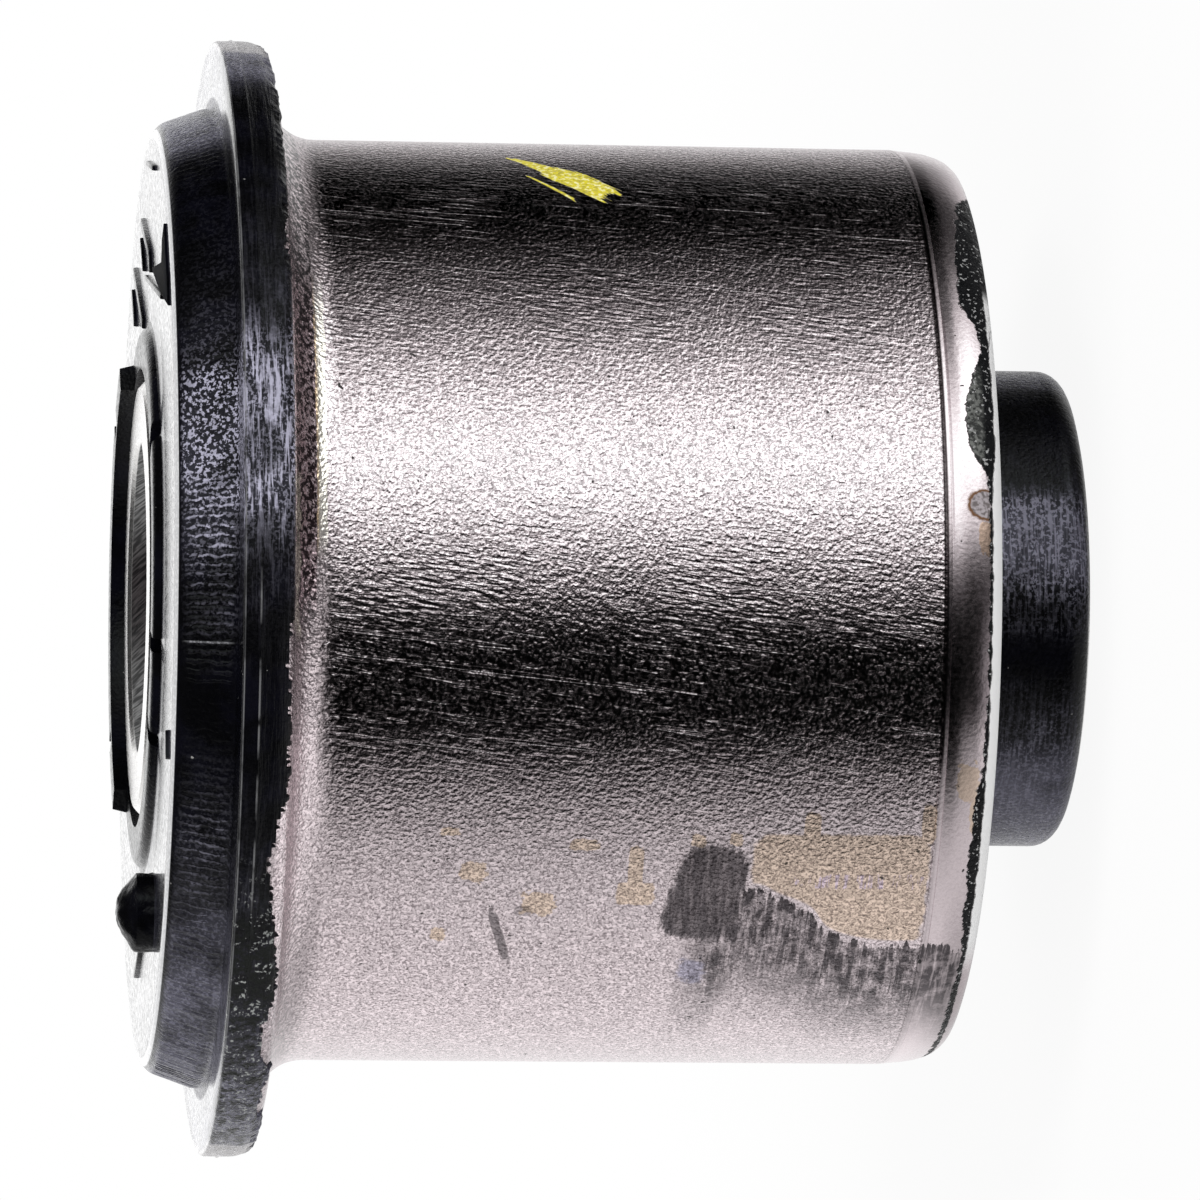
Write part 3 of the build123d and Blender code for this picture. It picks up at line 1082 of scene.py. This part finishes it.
def core_and_nose():
    """The hidden bond faces, the core inside the sleeve, the valley and the nose."""
    half = (FILM_INNER_R - NOSE_R) / 2
    valley_r = (half**2 + VALLEY_DEPTH**2) / (2 * VALLEY_DEPTH)
    valley = (NOSE_R + half, FILM_END + VALLEY_DEPTH - valley_r)
    rise = math.degrees(math.asin((FILM_END - valley[1]) / valley_r))
    section = [
        *BOND_EDGE,
        (FLANGE_R - 0.05, FLANGE_FRONT),
        *arc(BEND_CENTRE, INNER_BEND + WALL, 90, 180, steps=8),
        (INNER_WALL_R, LEAD_IN_TOP),
        (FILM_OUTER_R, FILM_END),
        *arc(valley, valley_r, rise, 180 - rise, steps=14),
        *arc((NOSE_R - NOSE_EDGE, NOSE_FOOT + NOSE_EDGE), NOSE_EDGE, 0, -90, steps=8),
        (SLEEVE_R - SLEEVE_CHAMFER + NOSE_FOOT, NOSE_FOOT),
        (SLEEVE_R, SLEEVE_CHAMFER),
        (SLEEVE_R, BOND_GAP[0]),
    ]
    return spun("rubber_core", section, CORE_COLUMNS, closed=False)


def bead_and_lug():
    """The bead round the inner sleeve, raised over an arc to the stop lug and notched."""
    section = [
        (SLEEVE_R, BOND_GAP[1]),
        (SLEEVE_R, SLEEVE_TOP - SLEEVE_CHAMFER),
        (SLEEVE_R + BEAD_LEAN, BEAD_TOP),
        (NOTCH_START_R, BEAD_TOP + 0.02),
        (BEAD_CREST_R, BEAD_TOP + 0.03),
        (BEAD_CREST_R + 0.35, BEAD_TOP - 0.01),
        (BEAD_CREST_R + 0.58, COLLAR_FACE + 0.26),
        (BEAD_CREST_R + 0.70, COLLAR_FACE + 0.06),
        (BEAD_FOOT_R, COLLAR_FACE),
        (FACE_INNER_R, COLLAR_FACE),
    ]
    piece = spun("rubber_bead", section, BEAD_COLUMNS, closed=False)

    def on_lug(place):
        radius, angle, height = polar(place)
        return (SLEEVE_R + BEAD_LEAN < radius < BEAD_CREST_R and height > BEAD_TOP - 0.05
                and LUG_SPAN[0] < angle < LUG_SPAN[1])

    def on_lug_rim(place):
        radius, _, height = polar(place)
        return height > LUG_TOP - 0.05 and radius > BEAD_CREST_R - 0.1

    pick(piece, "FACE", on_lug)
    raise_picked(LUG_TOP - BEAD_TOP)
    pick(piece, "VERT", on_lug_rim)
    shrink = LUG_CREST_R / BEAD_CREST_R
    bpy.ops.transform.resize(value=(shrink, shrink, 1), center_override=(0, 0, 0))

    for middle, width in NOTCHES:
        def in_notch(place):
            radius, angle, height = polar(place)
            return (abs(angle - middle) < math.degrees(width / 2 / radius)
                    and NOTCH_START_R < radius < BEAD_FOOT_R
                    and height > SLEEVE_TOP - SLEEVE_CHAMFER)

        pick(piece, "FACE", in_notch)
        raise_picked(0)
        bpy.ops.transform.resize(value=(1, 1, 0), center_override=(0, 0, NOTCH_FLOOR * MM))
    close_up()
    return piece


def rib_collar(piece, settings):
    """Presses fine uneven ribs into the collar's side."""
    chance = random.Random(11)
    pitch = settings.rib_pitch / (COLLAR_R * MM) / math.tau * FINE_COLUMNS
    deep, shallow = set(), set()
    column = 0.0
    while column < FINE_COLUMNS - 2:
        middle = round(column)
        deep.add(middle)
        shallow.update((middle - 1, middle + 1) if chance.random() < 0.6 else (middle + 1,))
        column += pitch * chance.uniform(0.75, 1.3)
    low, high = FACING_FRONT + 0.25, COLLAR_FACE - COLLAR_EDGE * 0.55

    def on_side(place):
        radius, _, height = polar(place)
        return low < height < high and radius > COLLAR_R - 0.6

    def share_at(place):
        side = side_angle(place)
        if -24 < side < -4 or side > 34:
            return 0.15
        return 0.4 if side > 20 else 1.0

    def column_of(place):
        return round(polar(place)[1] / 360 * FINE_COLUMNS) % FINE_COLUMNS

    for columns, depth in ((deep, 1.0), (shallow, 0.45)):
        for share in (0.15, 0.4, 1.0):
            pick(piece, "VERT", lambda place: on_side(place) and share_at(place) == share
                 and column_of(place) in columns)
            bpy.ops.transform.shrink_fatten(value=-settings.rib_depth * depth * share)


# Height in mm down to which the skin is left on the flange's edge, by side angle in degrees.
SKIN_END = (
    (-180, 42.3), (-68, 42.3), (-65, 42.75), (-61, 42.7), (-57, 42.35), (-52.5, 43.0),
    (-48, 43.1), (-46.5, 42.7), (-41, 42.5), (-35.5, 42.65), (-33.5, 42.9), (-31, 43.0),
    (-28, 43.25), (-26.5, 43.3), (-25, 43.0), (-22, 42.85), (-20, 42.45), (-10, 42.4), (-6, 42.6),
    (-3, 42.45), (0, 42.3), (35, 42.3), (40, 42.55), (46, 42.3), (180, 42.3),
)


def skin_end(side, chance):
    """The skin's last height at a side angle, with a little tearing of its own."""
    for (low, first), (high, last) in zip(SKIN_END, SKIN_END[1:]):
        if low <= side <= high:
            height = first + (last - first) * (side - low) / (high - low)
            return height + chance.uniform(-0.10, 0.10) * (height > 42.36)
    return SKIN_END[0][1]


def tear_skin(piece):
    """Presses the skin back along its torn end and crumbles it under the rim."""
    chance = random.Random(5)
    ends = [skin_end(column / 4 - 180, chance) for column in range(FINE_COLUMNS + 1)]

    def on_skin(place, top):
        radius, _, height = polar(place)
        return (height < min(top, FLANGE_BACK + 1.15) and radius > BODY_R + 2
                and not near(place, *TORN_ROWS[-1]))

    pick(piece, "VERT", lambda place: on_skin(place, ends[round((side_angle(place) + 180) * 4)]))
    bpy.ops.transform.shrink_fatten(value=-(SKIN + 0.16) * MM)
    pick(piece, "VERT", lambda place: on_skin(place, FLANGE_BACK + 0.45)
         and not -16 < side_angle(place) < 34)
    piece.vertex_groups.new(name="skin")
    bpy.ops.object.vertex_group_assign()
    to_object()
    roughen(piece, "skin_tears", 0.55, 0.30, group="skin")
    roughen(piece, "skin_crumbs", 0.2, 0.10, group="skin")


class BUSH_OT_rubber_body(bpy.types.Operator):
    """Moulds the rubber: collar, facing, skin, core, nose, bead and stop lug in one piece."""

    bl_idname = "bush.rubber_body"
    bl_label = "Rubber Body"

    def execute(self, context):
        settings = context.scene.bush_rubber
        moulding = collar_and_skin()
        rib_collar(moulding, settings)
        tear_skin(moulding)
        core = core_and_nose()
        to_object()
        bead = bead_and_lug()
        to_object()
        piece = join(moulding, core, bead)
        edit()
        for first, second in (
            ((FACE_OUTER_R, COLLAR_FACE), (FACE_INNER_R, COLLAR_FACE)),
            (TORN_ROWS[-1], BOND_EDGE[0]),
            ((SLEEVE_R, BOND_GAP[0]), (SLEEVE_R, BOND_GAP[1])),
        ):
            pick(piece, "EDGE", lambda place: near(place, *first, reach=0.004)
                 or near(place, *second, reach=0.004), open_only=True)
            bpy.ops.mesh.bridge_edge_loops()
        close_up()
        hand_over(piece, "rubber_body", moulded_rubber(settings))
        return {"FINISHED"}


MARK_FOOT = 0.2  # how far marks reach down into the collar
MARK_EDGE = 0.05
# (X, Y) of both ends in mm and the width of each raised stroke on the collar's face
STROKES = (
    ((19.8, 5.2), (17.8, -2.1), 0.5),
    ((17.8, -2.1), (16.95, -2.9), 0.35),
    ((18.9, 5.6), (17.2, 2.9), 0.3),
    ((17.4, 11.3), (14.3, 2.7), 0.55),
    ((16.3, 12.6), (14.6, 10.1), 0.55),
    ((16.75, 1.1), (15.3, -12.8), 0.3),
    ((22.7, 0.9), (22.2, -4.6), 0.3),
    ((-6.6, -21.0), (-8.0, -21.6), 0.35),
    ((-12.0, 5.4), (-12.7, -1.1), 0.25),
    ((-18.3, -0.7), (-19.8, 2.9), 0.4),
)
STROKE_HEIGHT = 0.2
# corners of the rough arrow pad
ARROW = (
    (19.0, -14.0), (18.2, -12.7), (17.1, -12.4), (17.05, -4.0), (15.5, -12.0), (14.7, -18.1),
    (16.2, -17.1), (17.2, -15.9), (18.2, -14.9),
)
ARROW_HEIGHT = 0.16


class BUSH_OT_face_marks(bpy.types.Operator):
    """Raises the moulded direction strokes and the rough arrow pad on the collar's face."""

    bl_idname = "bush.face_marks"
    bl_label = "Face Marks"

    def execute(self, context):
        marks = join(*(self.stroke(*numbers) for numbers in STROKES))
        hand_over(marks, "rubber_body", bpy.data.materials["moulded_rubber"])
        rough = moulded_rubber(context.scene.bush_rubber, name="cast_rubber", flat_shine=False)
        hand_over(self.arrow(), "rubber_body", rough)
        return {"FINISHED"}

    def ease(self):
        """Rounds all edges of the mark that is being edited."""
        bpy.ops.mesh.select_all(action="SELECT")
        bpy.ops.mesh.bevel(offset=MARK_EDGE * MM, segments=2, affect="EDGES")

    def stroke(self, start, end, width):
        """One raised bar with eased edges, from start to end."""
        first, last = Vector((*start, 0)) * MM, Vector((*end, 0)) * MM
        run = last - first
        height = (STROKE_HEIGHT + MARK_FOOT) * MM
        take()
        bpy.ops.mesh.primitive_cube_add(size=1)
        bar = named("direction_marks")
        edit()
        bpy.ops.transform.resize(value=(run.length, width * MM, height))
        pick(bar, "VERT", lambda place: place.z > 0)
        bpy.ops.transform.resize(value=(0.98, 0.86, 1))
        self.ease()
        to_object()
        lift = Vector((0, 0, (COLLAR_FACE - MARK_FOOT) * MM + height / 2))
        turn = Matrix.Rotation(math.atan2(run.y, run.x), 4, "Z")
        bar.data.transform(Matrix.Translation((first + last) / 2 + lift) @ turn)
        return bar

    def arrow(self):
        """A low pad in the shape of a swept arrow head, cast with a rough top."""
        corners = [Vector((x, y, COLLAR_FACE - MARK_FOOT)) * MM for x, y in ARROW]
        piece = chain("arrow_pad", corners, closed=True)
        bpy.ops.mesh.select_all(action="SELECT")
        bpy.ops.mesh.edge_face_add()
        bpy.ops.mesh.select_all(action="SELECT")
        raise_picked(ARROW_HEIGHT + MARK_FOOT)
        self.ease()
        close_up()
        return piece


PIP_PLACE = (-16.05, -9.5)
PIP_R = 2.05
PIP_FOOT = 0.2
# rise in mm and share of the radius kept by each step of the pip
PIP_STEPS = (
    (0.45, 0.99), (0.45, 0.99), (0.12, 0.93), (0.3, 0.77), (0.25, 0.77), (0.2, 0.66), (0.08, 0.6),
)


class BUSH_OT_pip(bpy.types.Operator):
    """Turns the blunt pip that stands on the collar's face."""

    bl_idname = "bush.pip"
    bl_label = "Pip"

    def execute(self, context):
        middle = Vector((*PIP_PLACE, COLLAR_FACE - PIP_FOOT / 2)) * MM
        take()
        bpy.ops.mesh.primitive_cylinder_add(vertices=48, radius=PIP_R * MM, depth=PIP_FOOT * MM)
        piece = named("locating_pip")
        edit()
        bpy.ops.transform.translate(value=middle)
        pick(piece, "FACE", lambda place: place.z > (COLLAR_FACE - 0.05) * MM)
        for rise, shrink in PIP_STEPS:
            raise_picked(rise)
            bpy.ops.transform.resize(value=(shrink, shrink, 1), center_override=middle)
        bpy.ops.mesh.select_all(action="SELECT")
        bpy.ops.mesh.subdivide(number_cuts=1)
        bpy.ops.mesh.normals_make_consistent(inside=False)
        to_object()
        roughen(piece, "pip_dents", 0.9, 0.25)
        hand_over(piece, "rubber_body", bpy.data.materials["moulded_rubber"])
        return {"FINISHED"}


# -------- studio --------


def seen_directly(tree):
    """1 where the camera, a reflection or a view through glass looks, 0 for other light."""
    paths = wires(add("LightPath", {}, tree).outputs)
    return larger(*(paths[f"Is {kind} Ray"] for kind in ("Camera", "Glossy", "Transmission")))


def white_ground(settings):
    """Pale floor that keeps its shadow and shows white to the camera, glass and metal."""
    material = bpy.data.materials.new("studio_floor")
    tree = empty_tree(material)
    place = wire("TexCoord", {}, out="Object", tree=tree)
    away = wire("VectorMath", {0: place}, out="Value", operation="LENGTH")
    share = smooth(away, 0.03, 0.2) * 0.08 + 0.92
    diffuse = wire("BsdfDiffuse", {"Color": settings.floor}, tree=tree)
    glow = wire("Emission", {"Color": grey(1), "Strength": 1.0}, tree=tree)
    both = wire("MixShader", {0: seen_directly(tree) * share, 1: diffuse, 2: glow})
    add("OutputMaterial", {"Surface": both})
    return material


# sizes in metres of the floor and of the tent, and the tent's brightness
FLOOR_R = 8.0
TENT_R = 0.6
TENT_TOP = 2.6
TENT_BACK = 1.8
# (direction in degrees from the camera side towards +X, brightness) round the tent's wall
TENT_WALL = (
    (-180, 0.9), (-150, 1.2), (-122, 1.12), (-96, 1.0), (-69, 0.82), (-54, 0.52), (-45, 0.15),
    (-38, 0.0), (-26, 0.0), (-14, 0.0), (-5, 0.0), (5, 0.22), (15, 1.12), (26, 1.9), (36, 1.98),
    (46, 1.6), (54, 1.10), (64, 0.52), (76, 0.14), (92, 0.02), (108, 0.0), (128, 0.0),
    (150, 0.4), (166, 1.1), (180, 0.9),
)
# the same for the lower part of the wall, near the floor
TENT_FOOT = (
    (-180, 0.7), (-102, 0.62), (-67, 0.85), (-52, 0.68), (-40, 0.48), (-30, 0.12), (-22, 0.02),
    (-4, 0.02), (4, 0.03), (11, 0.18), (19, 0.8), (28, 1.5), (38, 2.1), (53, 2.6), (67, 2.25),
    (76, 1.6), (84, 1.0), (92, 0.45), (103, 0.12), (125, 0.12), (146, 0.85), (180, 0.7),
)


def tent_cloth():
    """Light of the tent by direction: wall, foot of the wall, ground, back and the rings above."""
    material = bpy.data.materials.new("tent_cloth")
    local = wire("TexCoord", {}, out="Object", tree=empty_tree(material))
    x, y, z = split(wire("VectorMath", {0: local, "Scale": 1 / TENT_R}, operation="SCALE"))
    side = maths("ARCTAN2", x, -y) * math.degrees(1.0)
    light = curve_of(side, TENT_WALL, 0.0, TENT_TOP)
    light = mix(smooth(y, 0.8, 0.95) * smooth(z, 0.0, 0.07), light, TENT_BACK)
    light = mix(smooth(z, 0.6, 0.8), light, 0.06)
    light = mix(smooth(-z, 0.15, 0.45), light, curve_of(side, TENT_FOOT, 0.0, TENT_TOP))
    light = mix(smooth(-z, 0.56, 0.8), light, mix(smooth(x, -0.2, 0.02), 1.15, 0.22))
    bright = smooth(light, 1.4, 1.9) * smooth(-y, 0.0, 0.1)
    tone = blend(bright, grey(1), (0.96, 1.05, 1.03))
    add("OutputMaterial", {"Surface": wire("Emission", {"Color": tone, "Strength": light})})
    return material


# name, place in metres, width in metres and power in watts of the soft lamps
LAMPS = (
    ("key_lamp", (0.55, -0.75, 0.75), 0.6, 6.5),
    ("fill_lamp", (-0.8, -0.5, 0.5), 0.9, 4.0),
)
# height in mm of the spot that the camera aims at, and its lift past it in the picture
AIM_HEIGHT = 24.21
AIM_LIFT = 0.183


class BUSH_OT_studio(bpy.types.Operator):
    """Lays the floor, hangs the light tent and the lamps, and places the camera."""

    bl_idname = "bush.studio"
    bl_label = "Studio"

    def execute(self, context):
        scene, settings = context.scene, context.scene.bush_studio
        scene.view_settings.view_transform = "Standard"
        self.lay_floor(settings)
        self.hang_tent()
        self.light(scene)
        self.place_camera(scene, settings)
        return {"FINISHED"}

    def lay_floor(self, settings):
        """A wide pale floor under the bush."""
        take()
        bpy.ops.mesh.primitive_circle_add(vertices=96, radius=FLOOR_R, fill_type="NGON")
        floor = named("studio_floor")
        floor.data.materials.append(white_ground(settings))
        floor.visible_glossy = False

    def hang_tent(self):
        """A round tent that only reflections see."""
        take()
        bpy.ops.mesh.primitive_uv_sphere_add(segments=64, ring_count=32, radius=TENT_R,
                                             location=(0, 0, SLEEVE_TOP / 2 * MM))
        tent = named("light_tent")
        tent.data.materials.append(tent_cloth())
        tent.visible_camera = tent.visible_diffuse = tent.visible_shadow = False
        tent.visible_transmission = tent.visible_volume_scatter = False

    def light(self, scene):
        """Two soft lamps and an even sky."""
        for name, place, size, power in LAMPS:
            lamp = bpy.data.lights.new(name, "AREA")
            lamp.shape = "DISK"
            lamp.size = size
            lamp.energy = power
            stand = bpy.data.objects.new(name, lamp)
            stand.location = place
            stand.rotation_euler = (-Vector(place)).to_track_quat("-Z", "Y").to_euler()
            stand.visible_glossy = False
            scene.collection.objects.link(stand)
        scene.world = bpy.data.worlds.new("studio_sky")
        strength = seen_directly(empty_tree(scene.world)) * 0.55 + 0.45
        sky = wire("Background", {"Color": grey(1), "Strength": strength})
        add("OutputWorld", {"Surface": sky})

    def place_camera(self, scene, settings):
        """A long lens a little above the horizon, with the picture turned on its side."""
        tilt, turn = settings.tilt, settings.turn
        aim = Vector((0, 0, AIM_HEIGHT * MM))
        back = Vector((0, -math.cos(tilt), math.sin(tilt)))
        down = Vector((0, -math.sin(tilt), -math.cos(tilt)))
        side = Vector((1, 0, 0))
        right = down * math.cos(turn) + side * math.sin(turn)
        up = side * math.cos(turn) - down * math.sin(turn)
        lens = bpy.data.cameras.new("camera")
        lens.lens = settings.lens
        lens.sensor_width = 36.0
        lens.clip_start = 0.01
        lens.clip_end = 100.0
        camera = bpy.data.objects.new("camera", lens)
        place = Matrix.Translation(aim + back * settings.distance + up * AIM_LIFT * MM)
        camera.matrix_world = place @ Matrix((right, up, back)).transposed().to_4x4()
        scene.collection.objects.link(camera)
        scene.camera = camera


class BUSH_PT_sidebar(bpy.types.Panel):
    """Lists the steps that make the bush."""

    bl_idname = "BUSH_PT_sidebar"
    bl_label = "Rubber Metal Bush"
    bl_space_type = "VIEW_3D"
    bl_region_type = "UI"
    bl_category = "Bush"

    def draw(self, context):
        for step in STEPS:
            self.layout.operator(step.bl_idname)
        for group in GROUPS:
            settings = getattr(context.scene, group)
            box = self.layout.box()
            for name in settings.__annotations__:
                box.prop(settings, name)


STEPS = (
    BUSH_OT_outer_sleeve,
    BUSH_OT_inner_sleeve,
    BUSH_OT_rubber_body,
    BUSH_OT_face_marks,
    BUSH_OT_pip,
    BUSH_OT_studio,
)
GROUPS = {
    "bush_steel": BushSteelSettings,
    "bush_rubber": BushRubberSettings,
    "bush_studio": BushStudioSettings,
}


def register():
    """Registers the settings, the steps and the panel."""
    for name, group in GROUPS.items():
        bpy.utils.register_class(group)
        setattr(bpy.types.Scene, name, bpy.props.PointerProperty(type=group))
    for step in (*STEPS, BUSH_PT_sidebar):
        bpy.utils.register_class(step)


def unregister():
    """Takes the panel, the steps and the settings away again."""
    for step in (BUSH_PT_sidebar, *reversed(STEPS)):
        bpy.utils.unregister_class(step)
    for name, group in GROUPS.items():
        delattr(bpy.types.Scene, name)
        bpy.utils.unregister_class(group)


def main():
    register()
    build_groups()
    for step in STEPS:
        space, name = step.bl_idname.split(".")
        getattr(getattr(bpy.ops, space), name)()


if __name__ == "__main__":
    main()
